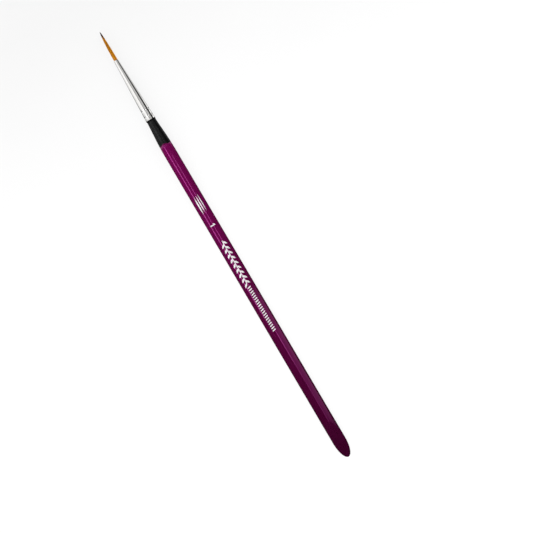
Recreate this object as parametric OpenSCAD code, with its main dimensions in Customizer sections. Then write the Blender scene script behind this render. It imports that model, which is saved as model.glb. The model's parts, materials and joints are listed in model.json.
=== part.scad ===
// Fine detail brush: a pointed filament tuft, a tapered crimped ferrule and a lacquered wooden handle.
// The brush lies along X on the plane z = 0: tail at +X, tuft at -X, slanted tail face looking up.
// Each module is worked out upright, with +Z from the tail to the tuft, and laid_down() turns it over.

/* [Brush] */
// Overall length, from the tail's tip to the tuft's tip
brush_length = 175; // [165:1:190]
// Length of filament that stands out of the ferrule
tuft_length = 11.6; // [10:0.1:13]
// Length of the metal ferrule
ferrule_length = 24.5; // [23:0.5:28]

/* [Handle] */
// Diameter of the straight rear part of the barrel
barrel_d = 4.9; // [4.7:0.1:5.4]
// Diameter of the barrel where the neck begins
barrel_front_d = 4.68; // [4.4:0.02:4.7]
// Diameter of the lacquered neck beside the ferrule
neck_front_d = 3.3; // [3.2:0.02:3.34]
// Length of the neck, from the barrel to the ferrule
neck_length = 15; // [13:0.5:18]
// Length of the black coat
black_length = 10; // [9.5:0.1:11]
// Where the straight rear part of the barrel ends, from the tail's tip
straight_end = 50; // [30:1:50]
// Angle between the slanted tail face and the handle's axis
slant_angle = 20; // [15:0.1:22]
// Thickness of the lacquer coats
coat_t = 0.1; // [0.06:0.01:0.12]
// Length of wood inside the ferrule
tenon_length = 12; // [9:0.5:14]

/* [Ferrule] */
// Outside diameter at the mouth, where the tuft comes out
mouth_d = 1.66; // [1.64:0.01:1.76]
// Outside diameter at the handle's end
rear_d = 3.58; // [3.54:0.01:3.64]
// Wall thickness of the drawn tube
wall_t = 0.1; // [0.08:0.01:0.1]
// Depth of the two rolled crimps
crimp_depth = 0.03; // [0.03:0.01:0.09]
// Width of each rolled crimp
crimp_w = 1.2; // [0.8:0.1:1.4]

/* [Tuft] */
// Diameter of the filament bundle at the ferrule's mouth
bundle_d = 1.44; // [1.36:0.01:1.44]
// Length of filament held inside the ferrule
root_length = 7.5; // [6.5:0.5:9]
// Diameter of the binding thread
thread_d = 0.12; // [0.08:0.01:0.14]
// Turns of binding thread
thread_turns = 5; // [3:1:7]
// Clearance between two zones of the tuft, where it bends
bend_gap = 0.03; // [0.02:0.01:0.04]

/* [Print] */
// Thickness of the white ink
ink_t = 0.03; // [0.02:0.01:0.05]
// Height of the size numeral
numeral_h = 1.9; // [1.4:0.1:2.2]
// Pairs of leaves on the printed sprig
leaf_pairs = 9; // [5:1:10]
// Dashes in the printed rule
dashes = 20; // [10:1:24]

/* [Hidden] */
$fn = 96;

// Stations along the brush, all measured from the tail's tip
handle_end = brush_length - tuft_length - ferrule_length;
black_start = handle_end - black_length;
neck_start = handle_end - neck_length;
mouth = handle_end + ferrule_length;

// Handle: the slanted face's length along the axis, and the glue that fills the ferrule's bore
slant_length = barrel_d / tan(slant_angle);
glue_t = (rear_d - neck_front_d) / 2 - wall_t + coat_t;
tenon_chamfer = 0.3;

// Crimps, as distances from the ferrule's handle end
crimps = [1.45, 3.85];
crimp_steps = 8;

// Depths below the ferrule's mouth, inside it
resin_top = 2;
resin_bottom = root_length + 1.2;
thread_top = 5.4;
thread_pitch = thread_d + 0.01;
thread_inset = 0.04;

// The tuft's four zones, each as long as the next, with a bend at the foot of each
first_bend = 0.15;
zones = 4;
zone_length = (tuft_length - first_bend) / zones;
bends = [for (i = [0:zones - 1]) mouth + first_bend + i * zone_length];
rim_share = 0.55;
zone_steps = 6;
taper_power = 0.5;
tip_r = 0.02;

// Print: where each mark's middle is
stroke_at = handle_end - 34.3;
numeral_at = handle_end - 43.5;
sprig_at = handle_end - 58.6;
rule_at = handle_end - 77.7;

// ---------- shared shapes ----------

// Turns the upright working frame to the way the brush lies
module laid_down() {
    translate([brush_length / 2, 0, barrel_d / 2]) rotate([0, -90, 0]) children();
}

// A point on the curve from a to c that leaves and arrives along the lines through b
function curve_point(a, b, c, t) = (1 - t) * (1 - t) * a + 2 * t * (1 - t) * b + t * t * c;

// The handle's outline from the tail to the ferrule, as [radius, station] points
neck_steps = 8;
cone_slope = 0.066;
cone_length = 7.5;
cone_foot = [neck_front_d / 2 + cone_slope * cone_length, handle_end - cone_length];
corner_r = barrel_front_d / 2 - 0.02;
neck_corner = [corner_r, cone_foot[1] - (corner_r - cone_foot[0]) / cone_slope];
handle_outline = concat(
    [[barrel_d / 2, 0], [barrel_d / 2, straight_end]],
    [for (i = [0:neck_steps])
        curve_point([barrel_front_d / 2, neck_start], neck_corner, cone_foot, i / neck_steps)],
    [[neck_front_d / 2, handle_end]]);

// The turned handle, smaller by inset all round, with its slanted tail face
module turned_handle(inset = 0) {
    difference() {
        rotate_extrude()
            polygon(concat([[0, 0]], [for (p = handle_outline) [p[0] - inset, p[1]]], [[0, handle_end]]));
        translate([-barrel_d / 2, 0, 0])
            rotate([0, slant_angle, 0])
                translate([-inset, -barrel_d, -barrel_d])
                    cube([2 * barrel_d, 2 * barrel_d, 2 * slant_length]);
    }
}

// The space between two stations, wider than the handle
module space_between(low, high) {
    translate([0, 0, low]) cylinder(r = barrel_d, h = high - low);
}

// The ferrule's outside radius at a distance from its handle end
function crimp_dip(d, centre) =
    let (x = abs(d - centre) / (crimp_w / 2)) x < 1 ? crimp_depth * (1 + cos(180 * x)) / 2 : 0;
function cone_r(d) = rear_d / 2 + (mouth_d - rear_d) / 2 * d / ferrule_length;
function ferrule_r(d) = cone_r(d) - crimp_dip(d, crimps[0]) - crimp_dip(d, crimps[1]);

// The distances from the ferrule's handle end at which its outline needs a point
crimp_stations = [for (c = crimps) for (i = [0:crimp_steps]) c - crimp_w / 2 + crimp_w * i / crimp_steps];

// A sleeve between two depths below the ferrule's outside, from its handle end over the crimps to last
module sleeve(outer, inner, last) {
    stations = concat([0], crimp_stations, [last]);
    count = len(stations);
    translate([0, 0, handle_end])
        rotate_extrude()
            polygon(concat(
                [for (d = stations) [ferrule_r(d) - outer, d]],
                [for (i = [count - 1:-1:0]) [max(0, ferrule_r(stations[i]) - inner), stations[i]]]));
}

// The tuft's radius at a distance from its tip
function tuft_r(d) = max(tip_r, bundle_d / 2 * pow(sin(90 * min(1, d / tuft_length)), taper_power));

// The round end that a zone turns on, or the hollow that fits over it with some clearance
function ball_r(i) = tuft_r(brush_length - bends[i]) - bend_gap / 2;
module ball(i, clearance = 0) {
    translate([0, 0, bends[i]]) sphere(r = ball_r(i) + clearance);
}

// One zone of the tuft: hollow over the bend at its foot, and round at the bend at its top
module tuft_zone(i) {
    low = bends[i] + rim_share * ball_r(i);
    high = i < zones - 1 ? bends[i + 1] : brush_length;
    stations = [for (k = [0:zone_steps]) low + (high - low) * k / zone_steps];
    difference() {
        union() {
            rotate_extrude()
                polygon(concat([[0, low]], [for (z = stations) [tuft_r(brush_length - z), z]], [[0, high]]));
            if (i < zones - 1) ball(i + 1);
        }
        ball(i, bend_gap);
    }
}

// The filament bundle inside the ferrule, drawn in under the thread
root_r = bundle_d / 2;
thread_high = mouth - thread_top;
thread_low = thread_high - thread_pitch * (thread_turns - 1);
module bundle() {
    waist_r = root_r - thread_inset;
    relax = 0.5;
    rotate_extrude()
        polygon([
            [0, mouth - root_length],
            [root_r, mouth - root_length],
            [waist_r, thread_low - thread_d / 2],
            [waist_r, thread_high + thread_d / 2],
            [root_r, thread_high + thread_d / 2 + relax],
            [root_r, bends[0]],
            [0, bends[0]]]);
}

// The space that the turns of thread fill around the bundle's waist
module thread_band() {
    translate([0, 0, thread_low - thread_d / 2])
        cylinder(r = root_r - thread_inset + thread_d, h = thread_high - thread_low + thread_d);
}

// ---------- handle ----------

// Turned birch: the barrel, the neck and the tenon that the ferrule is crimped onto
module handle_core() {
    tenon_r = ferrule_r(tenon_length) - wall_t - glue_t;
    color("burlywood") laid_down() {
        turned_handle(coat_t);
        sleeve(wall_t + glue_t, rear_d, tenon_length);
        translate([0, 0, handle_end + tenon_length])
            cylinder(r1 = tenon_r, r2 = tenon_r - tenon_chamfer, h = tenon_chamfer);
    }
}

// Purple gloss lacquer over the barrel and the slanted tail
module barrel_lacquer() {
    color([0.38, 0.02, 0.26]) laid_down()
        intersection() {
            difference() {
                turned_handle();
                turned_handle(coat_t);
            }
            space_between(-1, black_start);
        }
}

// Black satin lacquer over the neck, with the bead that dries against the ferrule
module neck_lacquer() {
    bead = 0.06;
    bead_length = 0.15;
    bead_run = 0.4;
    color([0.05, 0.05, 0.055]) laid_down()
        difference() {
            union() {
                intersection() {
                    turned_handle();
                    space_between(black_start, handle_end);
                }
                translate([0, 0, handle_end - bead_length - bead_run])
                    cylinder(r1 = neck_front_d / 2, r2 = neck_front_d / 2 + bead, h = bead_run);
                translate([0, 0, handle_end - bead_length])
                    cylinder(r = neck_front_d / 2 + bead, h = bead_length);
            }
            turned_handle(coat_t);
        }
}

// ---------- print ----------

// Ink on the lacquer, on the side that the slanted face looks to. Its children are flat, with x across
// the handle and y along it towards the tuft.
module printed() {
    color("white") laid_down()
        intersection() {
            difference() {
                turned_handle(-ink_t);
                turned_handle();
            }
            rotate([90, 0, 90]) linear_extrude(barrel_d) children();
        }
}

// A leaf along y, as two shallow arcs drawn in straight steps
leaf_steps = 8;
function leaf_edge(length, width) =
    [for (i = [0:leaf_steps - 1]) [width / 2 * sin(180 * i / leaf_steps), length * (i / leaf_steps - 0.5)]];
module leaf(length, width) {
    edge = leaf_edge(length, width);
    polygon(concat(edge, [for (p = edge) -p]));
}

// Three brush strokes, from fine to broad
module stroke_print() {
    pitch = 0.8;
    widths = [0.3, 0.4, 0.5];
    printed()
        for (i = [0:2])
            translate([(1 - i) * pitch, stroke_at - 0.4 * i]) leaf(7, widths[i]);
}

// The size, a plain block one that reads towards the tail
module numeral_print() {
    half = numeral_h / 2;
    stem = numeral_h / 9;
    flag = numeral_h / 4;
    printed()
        translate([0, numeral_at])
            polygon([
                [-half, -stem], [half, -stem], [half, stem], [half - flag, 2.2 * stem + flag / 3],
                [half - 1.5 * flag, 2.2 * stem + flag / 3], [half - flag, stem], [-half, stem]]);
}

// A sprig: a stem with pairs of leaves that lean towards the tail
module sprig_print() {
    pitch = 2;
    lean = 40;
    stem_w = 0.26;
    leaf_length = 1.9;
    leaf_w = 0.7;
    length = pitch * (leaf_pairs - 0.5);
    printed()
        translate([0, sprig_at]) {
            square([stem_w, length + 2 * stem_w], center = true);
            for (i = [0:leaf_pairs - 1])
                for (side = [-1, 1])
                    translate([0, length / 2 - pitch * (i + (side + 1) / 4)])
                        rotate(side * (180 - lean))
                            translate([0, leaf_length / 2]) leaf(leaf_length, leaf_w);
        }
}

// A rule made of slanted dashes
module rule_print() {
    pitch = 0.92;
    dash = 1.3;
    dash_w = 0.4;
    lean = 15;
    printed()
        for (i = [0:dashes - 1])
            translate([0, rule_at + pitch * ((dashes - 1) / 2 - i)])
                rotate(lean) square([dash, dash_w], center = true);
}

// ---------- ferrule ----------

// Drawn, nickel-plated tube, crimped twice onto the tenon, with a rounded mouth
module ferrule() {
    lip = 0.04;
    color([0.8, 0.8, 0.78]) laid_down() {
        sleeve(0, wall_t, ferrule_length - lip);
        translate([0, 0, mouth - lip])
            rotate_extrude()
                polygon([
                    [mouth_d / 2 - wall_t, 0], [mouth_d / 2, 0],
                    [mouth_d / 2 - lip / 2, lip], [mouth_d / 2 - wall_t, lip]]);
    }
}

// Film of glue between the tenon and the ferrule
module tenon_glue() {
    color([0.9, 0.85, 0.6]) laid_down()
        sleeve(wall_t, wall_t + glue_t, tenon_length);
}

// ---------- tuft ----------

// The filaments' ends inside the ferrule, with the round end that the tuft bends on
module filament_root() {
    color([0.72, 0.47, 0.14]) laid_down() {
        bundle();
        ball(0);
    }
}

// Turns of thread that tie the filaments, side by side around the bundle's waist
module binding_thread() {
    color([0.85, 0.82, 0.75]) laid_down()
        for (i = [0:thread_turns - 1])
            translate([0, 0, thread_low + i * thread_pitch])
                rotate_extrude()
                    translate([root_r - thread_inset + thread_d / 2, 0]) circle(d = thread_d, $fn = 32);
}

// Resin that locks the tied filaments into the ferrule
module root_resin() {
    d_low = ferrule_length - resin_bottom;
    d_high = ferrule_length - resin_top;
    color([0.75, 0.6, 0.3]) laid_down()
        difference() {
            translate([0, 0, handle_end + d_low])
                cylinder(r1 = ferrule_r(d_low) - wall_t, r2 = ferrule_r(d_high) - wall_t, h = d_high - d_low);
            bundle();
            thread_band();
        }
}

// The four zones of the exposed tuft, from the ferrule to the point
module tuft_heel() {
    color([0.76, 0.5, 0.14]) laid_down() tuft_zone(0);
}

module tuft_lower_belly() {
    color([0.76, 0.5, 0.14]) laid_down() tuft_zone(1);
}

module tuft_upper_belly() {
    color([0.7, 0.42, 0.12]) laid_down() tuft_zone(2);
}

module tuft_point() {
    color([0.3, 0.14, 0.08]) laid_down() tuft_zone(3);
}

handle_core();
barrel_lacquer();
neck_lacquer();
stroke_print();
numeral_print();
sprig_print();
rule_print();
ferrule();
tenon_glue();
filament_root();
binding_thread();
root_resin();
tuft_heel();
tuft_lower_belly();
tuft_upper_belly();
tuft_point();
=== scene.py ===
"""Looks of the fine detail brush: lacquered handle, nickel ferrule and a tuft of single filaments.

Everything is in metres, in the CAD model's frame: the brush lies along X on z = 0, its tail at +X and its
tuft at -X, and the slanted tail face and the printed marks look up.
"""
import json
import math
import random

import bmesh
import bpy
from mathutils import Matrix, Vector, noise


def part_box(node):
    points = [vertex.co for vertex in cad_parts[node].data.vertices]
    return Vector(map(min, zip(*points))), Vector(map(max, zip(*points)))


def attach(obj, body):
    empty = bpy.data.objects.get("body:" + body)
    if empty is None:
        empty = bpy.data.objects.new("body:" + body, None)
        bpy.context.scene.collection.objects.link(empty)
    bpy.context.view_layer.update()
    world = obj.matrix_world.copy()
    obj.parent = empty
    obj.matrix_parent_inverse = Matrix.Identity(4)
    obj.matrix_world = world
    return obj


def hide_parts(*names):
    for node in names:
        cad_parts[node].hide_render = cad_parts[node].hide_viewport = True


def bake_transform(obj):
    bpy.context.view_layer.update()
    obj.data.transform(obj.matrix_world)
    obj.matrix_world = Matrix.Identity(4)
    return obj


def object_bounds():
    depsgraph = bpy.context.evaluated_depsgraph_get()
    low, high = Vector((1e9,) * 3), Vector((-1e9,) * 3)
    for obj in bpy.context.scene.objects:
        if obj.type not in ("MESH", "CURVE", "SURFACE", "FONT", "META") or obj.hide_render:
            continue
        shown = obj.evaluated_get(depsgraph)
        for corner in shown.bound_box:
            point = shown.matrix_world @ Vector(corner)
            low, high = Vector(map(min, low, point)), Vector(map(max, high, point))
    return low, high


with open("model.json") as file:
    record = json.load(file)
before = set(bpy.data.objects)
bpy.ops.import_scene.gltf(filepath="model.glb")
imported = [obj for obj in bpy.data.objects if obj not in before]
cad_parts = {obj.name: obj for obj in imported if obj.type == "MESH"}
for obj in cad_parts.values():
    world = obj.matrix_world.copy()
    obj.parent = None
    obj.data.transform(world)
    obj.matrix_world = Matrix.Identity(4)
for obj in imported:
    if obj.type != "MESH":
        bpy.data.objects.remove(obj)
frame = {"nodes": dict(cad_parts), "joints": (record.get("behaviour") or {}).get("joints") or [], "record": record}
CAD_LOW, CAD_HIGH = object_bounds()

MM = 0.001
NODES = frame["nodes"]
RECORD = frame["record"]
JOINTS = {joint["name"]: joint for joint in frame["joints"]}

# ---------------------------------------------------------------- places, read from the CAD model

BARREL_LOW, BARREL_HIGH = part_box("barrel_lacquer")
AXIS_Z = (BARREL_LOW.z + BARREL_HIGH.z) / 2
BARREL_R = (BARREL_HIGH.z - BARREL_LOW.z) / 2
TAIL_X = BARREL_HIGH.x
COAT_X = BARREL_LOW.x
MOUTH_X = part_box("ferrule")[0].x
REAR_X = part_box("ferrule")[1].x
ROOT_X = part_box("filament_root")[1].x
TIP_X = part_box("tuft_point")[0].x
COAT_T = BARREL_HIGH.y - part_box("handle_core")[1].y
BRUSH_LENGTH = CAD_HIGH.x - CAD_LOW.x

FACE = next(mount for mount in RECORD["mounts"] if mount["name"] == "slanted_face")
FACE_POINT = Vector(FACE["pos_m"])
FACE_NORMAL = Vector(FACE["axis"]).normalized()


def outline(node):
    """The node's outer radius about the brush's axis at each of its stations, as sorted (x, radius) pairs."""
    mesh = NODES[node].data
    widest = {}
    for face in mesh.polygons:
        if face.normal.y * face.center.y + face.normal.z * (face.center.z - AXIS_Z) <= 0:
            continue
        for index in face.vertices:
            spot = mesh.vertices[index].co
            x = round(spot.x, 6)
            widest[x] = max(widest.get(x, 0), math.hypot(spot.y, spot.z - AXIS_Z))
    return sorted(widest.items())


def radius_on(points, x):
    """The radius at x on a smooth curve through an outline's points."""
    if x <= points[0][0]:
        return points[0][1]
    if x >= points[-1][0]:
        return points[-1][1]
    last = len(points) - 1
    i = next(k for k in range(last) if x <= points[k + 1][0])
    (xa, ra), (xb, rb) = points[i], points[i + 1]
    before, after = points[max(i - 1, 0)], points[min(i + 2, last)]
    chord = (rb - ra) / (xb - xa)
    slope_a = (rb - before[1]) / (xb - before[0])
    slope_b = (after[1] - ra) / (after[0] - xa)
    # a corner between a long straight and a short step stays a corner
    steepest = 3 * abs(chord)
    slope_a = max(-steepest, min(steepest, slope_a))
    slope_b = max(-steepest, min(steepest, slope_b))
    t = (x - xa) / (xb - xa)
    h = xb - xa
    return (
        ra * (1 + 2 * t) * (1 - t) ** 2
        + slope_a * h * t * (1 - t) ** 2
        + rb * t * t * (3 - 2 * t)
        + slope_b * h * t * t * (t - 1)
    )


def spread(start, end, count):
    """Evenly spaced values from start to end, both included."""
    return [start + (end - start) * k / (count - 1) for k in range(count)]


# ---------------------------------------------------------------- meshes

SEGMENTS = 128


def at(x, r, angle):
    """The point at radius r and an angle from the top of the brush, towards +Y."""
    return Vector((x, r * math.sin(angle), AXIS_Z + r * math.cos(angle)))


def ring(place):
    """A ring of points, each placed by its angle."""
    return [place(2 * math.pi * k / SEGMENTS) for k in range(SEGMENTS)]


def object_from(name, points, faces, material, smooth=None):
    """A mesh object. smooth says which faces are shaded smooth; without it all are."""
    mesh = bpy.data.meshes.new(name)
    mesh.from_pydata(points, [], faces)
    mesh.polygons.foreach_set("use_smooth", smooth or [True] * len(faces))
    mesh.materials.append(material)
    mesh.validate()
    made = bpy.data.objects.new(name, mesh)
    bpy.context.scene.collection.objects.link(made)
    return made


def skin(name, rings, material, sharp=(), apex=(), closed=False):
    """A surface over rings of points. It ends on the apex points, or closes back on its first ring.

    The strips of faces after the rings numbered in sharp are shaded flat, which keeps their edges crisp.
    """
    points = [p for one in rings for p in one]
    faces = []
    smooth = []
    count = len(rings)
    for i in range(count if closed else count - 1):
        here, there = i * SEGMENTS, (i + 1) % count * SEGMENTS
        for k in range(SEGMENTS):
            step = (k + 1) % SEGMENTS
            faces.append((here + k, here + step, there + step, there + k))
            smooth.append(i not in sharp)
    for centre, index in apex:
        tip = len(points)
        points.append(centre)
        start = (index % count) * SEGMENTS
        for k in range(SEGMENTS):
            step = (k + 1) % SEGMENTS
            pair = (start + step, start + k) if index == 0 else (start + k, start + step)
            faces.append((*pair, tip))
            smooth.append(True)
    made = object_from(name, points, faces, material, smooth)
    face_outwards(made)
    return made


def face_outwards(made):
    """Turns every face of a closed mesh outwards."""
    bm = bmesh.new()
    bm.from_mesh(made.data)
    bmesh.ops.recalc_face_normals(bm, faces=bm.faces)
    bm.to_mesh(made.data)
    bm.free()


# ---------------------------------------------------------------- materials


class Shader:
    """A material with one Principled surface, and short ways to add texture nodes to it."""

    def __init__(self, name, **inputs):
        self.material = bpy.data.materials.new(name)
        self.material.use_nodes = True
        self.tree = self.material.node_tree
        self.surface = self.tree.nodes["Principled BSDF"]
        self.set(**inputs)
        self.coordinates = self.tree.nodes.new("ShaderNodeTexCoord").outputs["Object"]

    def set(self, **inputs):
        """Sets inputs of the surface: a value, or a socket to link. An underscore stands for a space."""
        for name, value in inputs.items():
            self.feed(self.surface.inputs[name.replace("_", " ")], value)

    def feed(self, socket, value):
        """Links a socket to the input, or gives the input a value."""
        if isinstance(value, bpy.types.NodeSocket):
            self.tree.links.new(value, socket)
        else:
            socket.default_value = value

    def node(self, kind, inputs=(), **settings):
        """A node of a kind, with its inputs fed and its settings set."""
        made = self.tree.nodes.new(kind)
        for key, value in settings.items():
            setattr(made, key, value)
        for key, value in dict(inputs).items():
            self.feed(made.inputs[key], value)
        return made

    def grain(self, size_mm, detail=3, stretch=(1, 1, 1)):
        """Noise from 0 to 1, with features of about size_mm, longer along each axis by stretch."""
        scale = [1 / (size_mm * MM * s) for s in stretch]
        mapped = self.node("ShaderNodeMapping", {"Vector": self.coordinates, "Scale": scale})
        made = self.node(
            "ShaderNodeTexNoise",
            {"Vector": mapped.outputs[0], "Scale": 1.0, "Detail": detail},
        )
        return made.outputs["Fac"]

    def along_x(self, start, end):
        """Goes from 0 to 1 along the brush between two stations."""
        x = self.node("ShaderNodeSeparateXYZ", {"Vector": self.coordinates}).outputs["X"]
        made = self.node("ShaderNodeMapRange", {"Value": x, "From Min": start, "From Max": end})
        return made.outputs["Result"]

    def ramp(self, value, *stops):
        """Colours or greys along a value: each stop is (position, colour)."""
        made = self.node("ShaderNodeValToRGB", {"Fac": value})
        elements = made.color_ramp.elements
        while len(elements) < len(stops):
            elements.new(0.5)
        for element, (position, colour) in zip(elements, stops):
            element.position = position
            element.color = (*colour, 1) if isinstance(colour, tuple) else (colour, colour, colour, 1)
        return made.outputs["Color"]

    def mix(self, amount, first, second, kind="MIX"):
        """Mixes two colours by an amount."""
        made = self.node("ShaderNodeMix", data_type="RGBA", blend_type=kind)
        self.feed(made.inputs["Factor"], amount)
        self.feed(made.inputs[6], (*first, 1) if isinstance(first, tuple) else first)
        self.feed(made.inputs[7], (*second, 1) if isinstance(second, tuple) else second)
        return made.outputs[2]

    def add(self, first, second):
        """The sum of two values."""
        made = self.node("ShaderNodeMath", operation="ADD")
        self.feed(made.inputs[0], first)
        self.feed(made.inputs[1], second)
        return made.outputs[0]

    def carried(self, attribute):
        """A value that each vertex of the mesh carries."""
        return self.node("ShaderNodeAttribute", attribute_name=attribute).outputs["Fac"]

    def bump(self, height, depth_mm):
        """Bends the surface's normals by a height from 0 to 1 that stands for depth_mm."""
        made = self.node("ShaderNodeBump", {"Height": height, "Distance": depth_mm * MM})
        self.set(Normal=made.outputs["Normal"])


def purple_lacquer():
    """Deep magenta gloss lacquer, with painted shade: its colour is darkened towards the tail, where less light
    falls.
    """
    s = Shader("purple_lacquer", Specular_IOR_Level=0.8, Specular_Tint=(1.0, 0.12, 0.72, 1), Coat_Weight=0.08)
    cloud = s.grain(9, detail=2, stretch=(4, 1, 1))
    colour = s.ramp(cloud, (0.3, (0.104, 0.0017, 0.048)), (0.7, (0.123, 0.0024, 0.058)))
    # painted shade: the base colour is multiplied darker towards the tail, standing in for the light falling off
    # there
    toward_tail = s.along_x(COAT_X, TAIL_X)
    painted_tail_shade = s.ramp(
        toward_tail,
        (0.0, 1.0),
        (0.3, 0.76),
        (0.5, (0.55, 0.5, 0.5)),
        (0.85, (0.31, 0.24, 0.27)),
        (1.0, (0.25, 0.19, 0.22)),
    )
    s.set(Base_Color=s.mix(1.0, colour, painted_tail_shade, "MULTIPLY"))
    smudge = s.grain(3, detail=5, stretch=(2, 1, 1))
    # the slanted face, which starts some 13 mm from the tail, is a little duller
    dull = s.ramp(s.along_x(TAIL_X - 15 * MM, TAIL_X - 12 * MM), (0.0, 0.0), (1.0, 0.2))
    s.set(Roughness=s.add(s.ramp(smudge, (0.35, 0.06), (0.75, 0.13)), dull))
    s.bump(s.grain(0.9, detail=2, stretch=(1.6, 1, 1)), 0.004)
    return s.material


def black_lacquer():
    """Near-black satin lacquer."""
    s = Shader("black_lacquer", Specular_IOR_Level=0.3)
    s.set(Base_Color=s.ramp(s.grain(1.5), (0.3, (0.001, 0.001, 0.0012)), (0.7, (0.002, 0.002, 0.0022))))
    s.set(Roughness=s.ramp(s.grain(0.6, detail=4), (0.3, 0.26), (0.7, 0.36)))
    s.bump(s.grain(0.12, detail=4), 0.002)
    return s.material


def white_ink():
    """White printing ink, a little thin in places, so that the purple shows through."""
    s = Shader("white_ink")
    s.set(Base_Color=s.ramp(s.grain(0.25, detail=4), (0.25, (0.42, 0.4, 0.42)), (0.5, (0.58, 0.58, 0.58))))
    s.set(Roughness=s.ramp(s.grain(0.4), (0.3, 0.4), (0.7, 0.6)))
    s.bump(s.grain(0.1, detail=4), 0.004)
    return s.material


def nickel():
    """Polished nickel with faint lines drawn along the tube. The mesh carries where the roller dulled it."""
    s = Shader("nickel_plate", Metallic=1.0)
    drawn = s.grain(0.05, detail=4, stretch=(60, 1, 1))
    haze = s.grain(2.5, detail=4)
    polish = s.add(s.ramp(drawn, (0.3, 0.03), (0.8, 0.09)), s.ramp(haze, (0.4, 0.0), (0.8, 0.05)))
    s.set(Roughness=s.add(polish, s.ramp(s.carried("rolled"), (0.1, 0.0), (0.9, 0.16))))
    s.set(Base_Color=s.ramp(haze, (0.35, (0.88, 0.87, 0.86)), (0.75, (0.8, 0.79, 0.76))))
    s.bump(drawn, 0.0006)
    return s.material


def filament():
    """Amber polyester filament with brown dyed tips.

    Each mesh carries its strands' tones and how deep in the dye their points are.
    """
    s = Shader("filament", Specular_IOR_Level=0.18, Specular_Tint=(1.0, 0.75, 0.4, 1))
    dye = s.carried("dye")
    amber = s.ramp(
        s.carried("tone"),
        (0.0, (0.28, 0.087, 0.001)),
        (0.5, (0.49, 0.175, 0.002)),
        (1.0, (0.65, 0.28, 0.009)),
    )
    fleck = s.grain(0.12, detail=3, stretch=(8, 1, 1))
    amber = s.mix(0.2, amber, s.ramp(fleck, (0.3, (0.29, 0.087, 0.001)), (0.7, (0.63, 0.27, 0.007))))
    amber = s.mix(1.0, amber, s.ramp(s.along_x(TIP_X, MOUTH_X), (0.6, 0.86), (0.9, 1.0)), "MULTIPLY")
    brown = s.ramp(dye, (0.8, (0.06, 0.012, 0.0045)), (0.96, (0.01, 0.0035, 0.004)))
    s.set(Base_Color=s.mix(s.ramp(dye, (0.775, 0.0), (0.85, 1.0)), amber, brown))
    s.set(Roughness=s.ramp(dye, (0.9, 0.3), (0.98, 0.6)))
    s.bump(fleck, 0.002)
    return s.material


def birch():
    """Pale wood with its grain along the handle."""
    s = Shader("birch", Roughness=0.6)
    rings = s.grain(0.6, detail=5, stretch=(40, 1, 1))
    s.set(Base_Color=s.ramp(rings, (0.3, (0.5, 0.33, 0.17)), (0.7, (0.72, 0.54, 0.34))))
    s.bump(rings, 0.02)
    return s.material


def glue():
    """Yellow wood glue, set clear in places."""
    s = Shader("glue", Roughness=0.35, Transmission_Weight=0.4)
    s.set(Base_Color=s.ramp(s.grain(0.8), (0.3, (0.6, 0.46, 0.2)), (0.7, (0.8, 0.68, 0.4))))
    s.bump(s.grain(0.3), 0.01)
    return s.material


def resin():
    """Amber resin."""
    s = Shader("resin", Roughness=0.12, Transmission_Weight=0.5)
    s.set(Base_Color=s.ramp(s.grain(1.2), (0.3, (0.42, 0.22, 0.05)), (0.7, (0.6, 0.38, 0.12))))
    s.bump(s.grain(0.5), 0.01)
    return s.material


def thread():
    """Undyed twisted thread."""
    s = Shader("thread", Roughness=0.7, Sheen_Weight=0.4)
    twist = s.node("ShaderNodeTexWave", {"Vector": s.coordinates, "Scale": 9000.0, "Distortion": 1.5})
    s.set(Base_Color=s.ramp(twist.outputs["Fac"], (0.2, (0.5, 0.45, 0.36)), (0.8, (0.8, 0.76, 0.68))))
    s.bump(twist.outputs["Fac"], 0.01)
    return s.material


# ---------------------------------------------------------------- handle

RIM = 0.22 * MM
SHALLOW_RIM = 1.1 * MM
WAVE = 0.27 * MM
WAVE_AT = math.radians(-14)


def coat_line(angle):
    """Where the black and the purple coats meet: a dipped line that dips forward three times in a turn."""
    spot = Vector((math.cos(angle), math.sin(angle), 0)) * 1.7
    return COAT_X - WAVE * (math.cos(3 * (angle - WAVE_AT)) + 0.2 * noise.noise(spot))


def slant_x(r, angle, inset=0.0):
    """Where the slanted tail face, moved in by inset, cuts a line along the handle's surface."""
    point = at(0, r, angle)
    return (FACE_NORMAL.dot(FACE_POINT - point) - inset) / FACE_NORMAL.x


def rim_at(angle):
    """How far the coat rounds the slanted face's rim: more where the face leaves the barrel, at its top."""
    return RIM + (SHALLOW_RIM - RIM) * ((1 + math.cos(angle)) / 2) ** 3


def barrel_rings(points, inset):
    """Rings over the barrel from the coat line to the slanted face, then over its rim to near its middle."""
    slant_start = slant_x(BARREL_R, 0) - 3 * MM
    rings = [ring(lambda a: at(coat_line(a), radius_on(points, coat_line(a)) - inset, a))]
    for x in spread(COAT_X + MM, slant_start, 130):
        rings.append(ring(lambda a: at(x, radius_on(points, x) - inset, a)))
    r = BARREL_R - inset
    centre = Vector((slant_x(0, 0, inset), 0, AXIS_Z))
    for u in spread(0, 1, 9)[1:]:

        def towards_rim(a):
            rim_start = slant_x(r, a, inset) - rim_at(a)
            return at(slant_start + u * (rim_start - slant_start), r, a)

        rings.append(ring(towards_rim))
    for t in spread(0, 1, 6)[1:]:

        def rounded(a):
            corner = at(slant_x(r, a, inset), r, a)
            rim = rim_at(a)
            before = corner - Vector((rim, 0, 0))
            after = corner + (centre - corner).normalized() * rim
            return before * (1 - t) ** 2 + corner * 2 * t * (1 - t) + after * t * t

        rings.append(ring(rounded))
    edge = rings[-1]
    for u in spread(0, 1, 6)[1:-1]:
        rings.append([p.lerp(centre, u) for p in edge])
    return rings, centre


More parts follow.
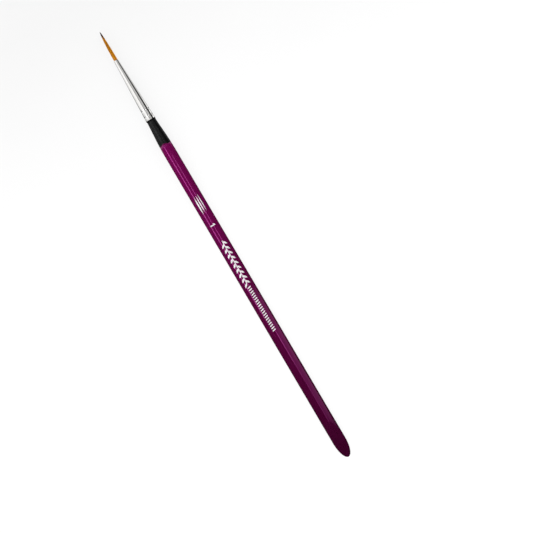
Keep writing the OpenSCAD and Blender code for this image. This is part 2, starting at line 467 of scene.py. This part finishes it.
def build_barrel(material):
    """The purple coat: an outer and an inner skin, joined at the coat line."""
    points = [p for p in outline("barrel_lacquer") if p[0] < slant_x(BARREL_R, 0) - 4 * MM]
    points.append((TAIL_X, BARREL_R))
    outer, face_middle = barrel_rings(points, 0.0)
    inner, inner_middle = barrel_rings(points, COAT_T)
    rings = outer[::-1] + inner
    front = len(outer) - 1
    ends = ((face_middle, 0), (inner_middle, len(rings) - 1))
    made = skin("barrel_coat", rings, material, sharp=(front,), apex=ends)
    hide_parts("barrel_lacquer")
    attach(made, "handle")


def build_neck(material):
    """The black coat: a closed sleeve that laps onto the ferrule, and ends a hair thicker on the purple."""
    points = outline("neck_lacquer")
    tube = outline("ferrule")
    tube_r = radius_on(tube, REAR_X)
    lap = 0.16 * MM
    film = 0.035 * MM
    cling = 0.05 * film
    lip = 0.012 * MM
    bead_end = REAR_X + 0.45 * MM
    lip_start = COAT_X - WAVE - 0.25 * MM
    gap = 0.01 * MM

    def lap_x(share, angle):
        """A share of the way from the ferrule's end to the lap's uneven edge on the ferrule."""
        spot = Vector((math.cos(angle), math.sin(angle), 5)) * 1.3
        return REAR_X - share * (lap + 0.06 * MM * noise.noise(spot))

    def over_tube(x, height):
        return radius_on(tube, x) + height

    outer = []
    for share, height in ((1.0, 0.1), (0.93, 0.6), (0.7, 1.0), (0.3, 1.1), (0.0, 1.0)):
        outer.append(ring(lambda a: at(lap_x(share, a), over_tube(lap_x(share, a), height * film), a)))
    for u in spread(0, 1, 10)[1:]:
        x = REAR_X + u * (bead_end - REAR_X)
        fall = u * u * (3 - 2 * u)
        r = (tube_r + film) * (1 - fall) + radius_on(points, bead_end) * fall
        outer.append(ring(lambda a: at(x, r, a)))
    for x in spread(bead_end + 0.2 * MM, lip_start, 40):
        outer.append(ring(lambda a: at(x, radius_on(points, x), a)))
    for back, rise in ((0.12, 0.7), (0.06, 1.0), (0.02, 0.7), (0.0, 0.0)):

        def lipped(a):
            x = coat_line(a) - back * MM
            return at(x, radius_on(points, x) + rise * lip, a)

        outer.append(ring(lipped))
    inner = [ring(lambda a: at(coat_line(a), radius_on(points, coat_line(a)) - COAT_T, a))]
    for x in spread(lip_start, bead_end, 30):
        inner.append(ring(lambda a: at(x, radius_on(points, x) - COAT_T, a)))
    inner.append(ring(lambda a: at(REAR_X + gap, radius_on(points, bead_end) - COAT_T, a)))
    inner.append(ring(lambda a: at(REAR_X + gap, over_tube(REAR_X, cling), a)))
    inner.append(ring(lambda a: at(lap_x(1.0, a), over_tube(lap_x(1.0, a), cling), a)))
    ends = (len(outer) - 1, len(outer) + len(inner) - 1)
    made = skin("neck_coat", outer + inner, material, sharp=ends, closed=True)
    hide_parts("neck_lacquer")
    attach(made, "handle")


# ---------------------------------------------------------------- ferrule


def build_ferrule(material):
    """The tube: a drawn taper, two rolled crimps with faint roller marks, and a rounded mouth."""
    points = outline("ferrule")
    wall = 0.1 * MM
    lip = 0.045 * MM
    roller_width = 0.3 * MM
    dent = 0.002 * MM
    dents_in_a_turn = 5
    dent_twist = 0.8 * MM
    crimps = [
        x for (x, r), (_, before), (_, after) in zip(points[1:], points, points[2:])
        if r < before and r < after]

    def rolled(x):
        """How hard the roller bit at x: 1 in the middle of a crimp."""
        return max(math.exp(-(((x - centre) / roller_width) ** 2)) for centre in crimps)

    def tube_r(x, angle):
        """The outer radius: the CAD outline, dented a little by the roller at the crimps."""
        wave = 1 + math.cos(dents_in_a_turn * angle + x / dent_twist)
        return radius_on(points, x) - rolled(x) * dent * wave

    first = MOUTH_X + lip
    body = spread(first, crimps[0] - 0.8 * MM, 70)
    crimped = spread(crimps[0] - 0.75 * MM, REAR_X - 0.05 * MM, 120)
    rings = []
    for turn in spread(0, math.pi / 2, 5)[:-1]:
        x = first - lip * math.cos(turn)
        r = radius_on(points, first) - lip * (1 - math.sin(turn))
        rings.append(ring(lambda a: at(x, r, a)))
    for x in body + crimped:
        rings.append(ring(lambda a: at(x, tube_r(x, a), a)))
    for back, drop in ((0.015, 0.005), (0.0, 0.03)):
        rings.append(ring(lambda a: at(REAR_X - back * MM, radius_on(points, REAR_X) - drop * MM, a)))
    outside = len(rings)
    for x in [REAR_X] + (body + crimped)[::-3] + [MOUTH_X]:
        rings.append(ring(lambda a: at(x, tube_r(max(x, first), a) - wall, a)))
    made = skin("ferrule_tube", rings, material, sharp=(outside - 1, len(rings) - 1), closed=True)
    marks = [rolled(vertex.co.x) for vertex in made.data.vertices]
    made.data.attributes.new("rolled", "FLOAT", "POINT").data.foreach_set("value", marks)
    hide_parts("ferrule")
    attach(made, "handle")
    return made


# ---------------------------------------------------------------- tuft

TUFT_NODES = ("tuft_point", "tuft_upper_belly", "tuft_lower_belly", "tuft_heel", "filament_root")
STRANDS = 190
STRAND_R = 0.046 * MM
STRAND_SIDES = 8
GOLDEN = math.pi * (3 - math.sqrt(5))
BEND_NAMES = ("heel_bend", "belly_sway", "belly_bend", "point_sway")
TUFT_LENGTH = MOUTH_X - TIP_X
TUFT_R = max(r for node in TUFT_NODES for x, r in outline(node) if x < MOUTH_X)
ROOT_OUTLINE = [p for p in outline("filament_root") if p[0] >= MOUTH_X - 0.2 * MM]
TUFT_POWER = 0.55
TIP_LEAN = 0.15 * MM
LAP = 0.12 * MM
LAP_THIN = 0.9


def share_of(x):
    """How far down the exposed tuft a station is: 0 at the point and 1 at the ferrule's mouth."""
    return (x - TIP_X) / TUFT_LENGTH


def tuft_radius(x):
    """The tuft's radius at x: a fine point, a full belly, and the bundle's own outline in the ferrule."""
    share = share_of(x)
    if share >= 1:
        return radius_on(ROOT_OUTLINE, x)
    return TUFT_R * math.sin(math.pi / 2 * max(0.0, share)) ** TUFT_POWER


class Strand:
    """One filament: where it lies in the bundle, how far it reaches and how it wanders."""

    def __init__(self, number, dice):
        self.share = math.sqrt((number + 0.5) / STRANDS) * dice.uniform(0.97, 1.0)
        self.angle = number * GOLDEN + dice.uniform(-0.03, 0.03)
        self.end = TIP_X + TUFT_LENGTH * (0.002 + 0.16 * dice.random() ** 2.5 * self.share)
        self.tone = dice.random()
        self.wander = dice.uniform(0, 2 * math.pi)
        self.thick = dice.uniform(0.9, 1.08)

    def radius(self, x):
        """The strand's radius at x: thinner where the tuft is, and tapered over its last 0.7 mm."""
        taper = min(1.0, max(0.0, (x - self.end) / (0.7 * MM))) ** 0.5
        return max(0.0015 * MM, STRAND_R * self.thick * tuft_radius(x) / TUFT_R * taper)

    def centre(self, x):
        """The middle of the strand at x, inside the tuft's outline."""
        inside = max(0.0, tuft_radius(x) - self.radius(x))
        sway = 0.02 * math.sin((x - MOUTH_X) / (2.1 * MM) + self.wander)
        lean = TIP_LEAN * max(0.0, 1 - share_of(x)) ** 2
        return at(x, inside * self.share, self.angle + sway) + Vector((0, lean, 0))

    def dye(self, x):
        """How deep in the dyed tip a station is. The dark brown reaches further down the tuft's +Y side."""
        uneven = 0.05 * (self.tone - 0.5) + 0.09 * max(0.0, math.sin(self.angle)) * self.share ** 2
        return 1 - share_of(x) + uneven


def strand_mesh(name, strands, start, end, material, lap=0.0):
    """All strands between two stations, each a closed tube with flat ends.

    The first lap of the length runs on inside the next piece's strands, a little thinner than they are.
    """
    points, faces, smooth, tones, dyes = [], [], [], [], []
    for strand in strands:
        first = max(start - lap, strand.end)
        if first >= end:
            continue
        steps = max(3, round((end - first) / (0.22 * MM)))
        stations = spread(first, end, steps + 1)
        if first < start:
            stations = [first, start] + [x for x in stations if x > start + 0.05 * MM]
        base = len(points)
        for i, x in enumerate(stations):
            centre = strand.centre(x)
            r = strand.radius(x) * (LAP_THIN if first < start and i == 0 else 1)
            for k in range(STRAND_SIDES):
                angle = strand.angle + 2 * math.pi * k / STRAND_SIDES
                points.append(centre + Vector((0, r * math.sin(angle), r * math.cos(angle))))
                tones.append(strand.tone)
                dyes.append(strand.dye(x))
        last = len(stations) - 1
        for i in range(last):
            for k in range(STRAND_SIDES):
                step = (k + 1) % STRAND_SIDES
                a, b = base + i * STRAND_SIDES, base + (i + 1) * STRAND_SIDES
                faces.append((a + k, a + step, b + step, b + k))
                smooth.append(True)
        faces.append(tuple(base + k for k in reversed(range(STRAND_SIDES))))
        faces.append(tuple(base + last * STRAND_SIDES + k for k in range(STRAND_SIDES)))
        smooth += [False, False]
    made = object_from(name, points, faces, material, smooth)
    for key, values in (("tone", tones), ("dye", dyes)):
        made.data.attributes.new(key, "FLOAT", "POINT").data.foreach_set("value", values)
    face_outwards(made)
    return made


def build_tuft(material):
    """The filaments, cut at the middle of each zone between the bend joints, one piece around each joint."""
    dice = random.Random(11)
    strands = [Strand(number, dice) for number in range(STRANDS)]
    bends = [JOINTS[name]["pos_m"][0] for name in BEND_NAMES]
    cuts = [MOUTH_X + 0.1 * MM] + [(a + b) / 2 for a, b in zip(bends, bends[1:])] + [TIP_X]
    root = strand_mesh("filament_root_strands", strands, cuts[0], ROOT_X, material, LAP)
    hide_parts("filament_root")
    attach(root, "handle")
    pieces = ("heel", "lower_belly", "upper_belly", "point")
    for i, piece in enumerate(pieces):
        at_point = i == len(pieces) - 1
        lap = 0 if at_point else LAP
        made = strand_mesh(piece + "_strands", strands, cuts[i + 1], cuts[i], material, lap)
        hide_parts("tuft_" + piece)
        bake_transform(made)


# ---------------------------------------------------------------- the object

build_barrel(purple_lacquer())
build_neck(black_lacquer())
ferrule_tube = build_ferrule(nickel())
build_tuft(filament())

CAD_LOOKS = {
    "handle_core": birch(),
    "tenon_glue": glue(),
    "root_resin": resin(),
    "binding_thread": thread(),
}
ink = white_ink()
for node in ("stroke_print", "numeral_print", "sprig_print", "rule_print"):
    CAD_LOOKS[node] = ink
for node, look in CAD_LOOKS.items():
    for slot in NODES[node].material_slots:
        slot.material = look

# ---------------------------------------------------------------- stage, light and camera

FLOOR_SIZE = 6.0
PALE = 0.97


def pale_floor():
    """A light table: it glows, so the brush's shadow on it stays faint. Its glow is turned down towards the tuft's
    end, a painted soft shadow there.
    """
    s = Shader("pale_floor", Roughness=0.9, Specular_IOR_Level=0.0)
    s.set(Base_Color=s.ramp(s.grain(60, detail=2), (0.3, (0.11, 0.11, 0.11)), (0.7, (0.12, 0.12, 0.12))))
    # painted shadow: the glow dims from +X towards -X, around the tuft's end
    glow_and_painted_shadow = s.ramp(s.along_x(-0.1, 0.0), (0.0, 0.77), (1.0, 0.88))
    s.set(Emission_Color=glow_and_painted_shadow, Emission_Strength=1.0)
    return s.material


def build_floor():
    """The light table under the brush, which the brush does not mirror."""
    half = FLOOR_SIZE / 2
    corners = [(-half, -half, 0), (half, -half, 0), (half, half, 0), (-half, half, 0)]
    made = object_from("floor", corners, [(0, 1, 2, 3)], pale_floor())
    made.visible_glossy = False


LIGHT_DISTANCE = 0.35


def soft_box(name, angles, span, radiance, glossy=True, only=None):
    """A rectangular light between two angles from straight up (towards +Y) and two stations along X.

    A glossy one shows only in reflections, and the others only light surfaces, so that each can be set alone.
    One made for a single object (only) shows on nothing else.
    """
    start, end = (math.radians(a) for a in angles)
    width = 2 * LIGHT_DISTANCE * math.tan((end - start) / 2)
    length = span[1] - span[0]
    middle = (start + end) / 2
    data = bpy.data.lights.new(name, "AREA")
    data.shape = "RECTANGLE"
    data.size = length
    data.size_y = width
    data.energy = radiance * math.pi * length * width
    made = bpy.data.objects.new(name, data)
    outward = Vector((0, math.sin(middle), math.cos(middle)))
    along = Vector((1, 0, 0))
    turn = Matrix((along, outward.cross(along), outward)).transposed().to_4x4()
    centre = Vector(((span[0] + span[1]) / 2, 0, AXIS_Z)) + outward * LIGHT_DISTANCE
    made.matrix_world = Matrix.Translation(centre) @ turn
    made.visible_camera = False
    made.visible_glossy = glossy
    made.visible_transmission = glossy
    made.visible_diffuse = not glossy
    bpy.context.scene.collection.objects.link(made)
    if only:
        lit = bpy.data.collections.new(name + "_lit")
        lit.objects.link(only)
        made.light_linking.receiver_collection = lit


def world_band(tree, value, start, end, low=0.0, high=1.0):
    """Goes from low to high while a value goes from start to end."""
    made = tree.nodes.new("ShaderNodeMapRange")
    for name, number in (("From Min", start), ("From Max", end), ("To Min", low), ("To Max", high)):
        made.inputs[name].default_value = number
    tree.links.new(value, made.inputs["Value"])
    return made.outputs["Result"]


def world_product(tree, first, second):
    """The product of two values."""
    made = tree.nodes.new("ShaderNodeMath")
    made.operation = "MULTIPLY"
    tree.links.new(first, made.inputs[0])
    tree.links.new(second, made.inputs[1])
    return made.outputs[0]


def build_world():
    """A dark studio in the brush's reflections, pale where the camera sees past the floor."""
    world = bpy.data.worlds.new("studio")
    bpy.context.scene.world = world
    world.use_nodes = True
    tree = world.node_tree
    background = tree.nodes["Background"]
    path = tree.nodes.new("ShaderNodeLightPath")
    direction = tree.nodes.new("ShaderNodeTexCoord")
    parts = tree.nodes.new("ShaderNodeSeparateXYZ")
    tree.links.new(direction.outputs["Generated"], parts.inputs[0])
    # below the horizon, the front of the brush mirrors the pale table, brighter towards +Y
    below = world_band(tree, parts.outputs["Z"], 0.11, -0.25)
    ahead = world_band(tree, parts.outputs["X"], -0.06, -0.11)
    side = world_band(tree, parts.outputs["Y"], -0.5, 0.5, 0.5, 0.9)
    table = world_product(tree, world_product(tree, below, ahead), side)
    level = world_band(tree, table, 0.0, 1.0, 0.02, 0.8)
    seen = tree.nodes.new("ShaderNodeMix")
    seen.inputs["B"].default_value = PALE
    tree.links.new(path.outputs["Is Camera Ray"], seen.inputs["Factor"])
    tree.links.new(level, seen.inputs["A"])
    tree.links.new(seen.outputs["Result"], background.inputs["Strength"])
    background.inputs["Color"].default_value = (1, 1, 1, 1)


build_floor()
build_world()
FRONT = (-0.6, -0.1)
soft_box("front_left", (-76, -12), FRONT, 1.1)
soft_box("front_low", (-112, -76), FRONT, 0.8)
soft_box("front_top", (-4, 46), FRONT, 0.56)
BEHIND = (-0.1, 0.3)
soft_box("behind_left", (-76, -12), BEHIND, 0.75, only=ferrule_tube)
soft_box("behind_low", (-112, -76), BEHIND, 0.55, only=ferrule_tube)
soft_box("behind_top", (-4, 46), BEHIND, 0.38, only=ferrule_tube)
soft_box("behind_right", (84, 125), BEHIND, 0.6, only=ferrule_tube)
soft_box("line_left", (-48, -35), (-0.075, 0.034), 5.0)
soft_box("line_top", (6, 15), (-0.056, 0.06), 4.2)
soft_box("line_top_tail", (9, 18), (0.06, 0.1), 1.6)
soft_box("tail_right", (22, 100), (0.02, 0.094), 0.75)
soft_box("key", (-85, 5), (-0.3, 0.25), 2.6, glossy=False)
soft_box("fill", (10, 85), (-0.25, 0.45), 1.7, glossy=False)

ROLL = math.radians(30.43)
VIEW_WIDTH = 1.081 * BRUSH_LENGTH
AIM_RIGHT = 15.02 * MM
AIM_DOWN = 7.74 * MM

right = Vector((math.sin(ROLL), math.cos(ROLL), 0))
up = Vector((-math.cos(ROLL), math.sin(ROLL), 0))
camera = bpy.data.objects.new("camera", bpy.data.cameras.new("camera"))
bpy.context.scene.collection.objects.link(camera)
camera.data.lens = 200
camera.data.sensor_width = 36
distance = VIEW_WIDTH * camera.data.lens / camera.data.sensor_width
middle = Vector(((CAD_LOW.x + CAD_HIGH.x) / 2, 0, AXIS_Z))
camera.location = middle + right * AIM_RIGHT - up * AIM_DOWN + Vector((0, 0, distance))
camera.rotation_mode = "QUATERNION"
camera.rotation_quaternion = Matrix((right, up, (0, 0, 1))).transposed().to_quaternion()
camera.data.clip_start = 0.01
camera.data.clip_end = 20
bpy.context.scene.camera = camera

bpy.context.scene.view_settings.view_transform = "Standard"
bpy.context.scene.view_settings.look = "None"
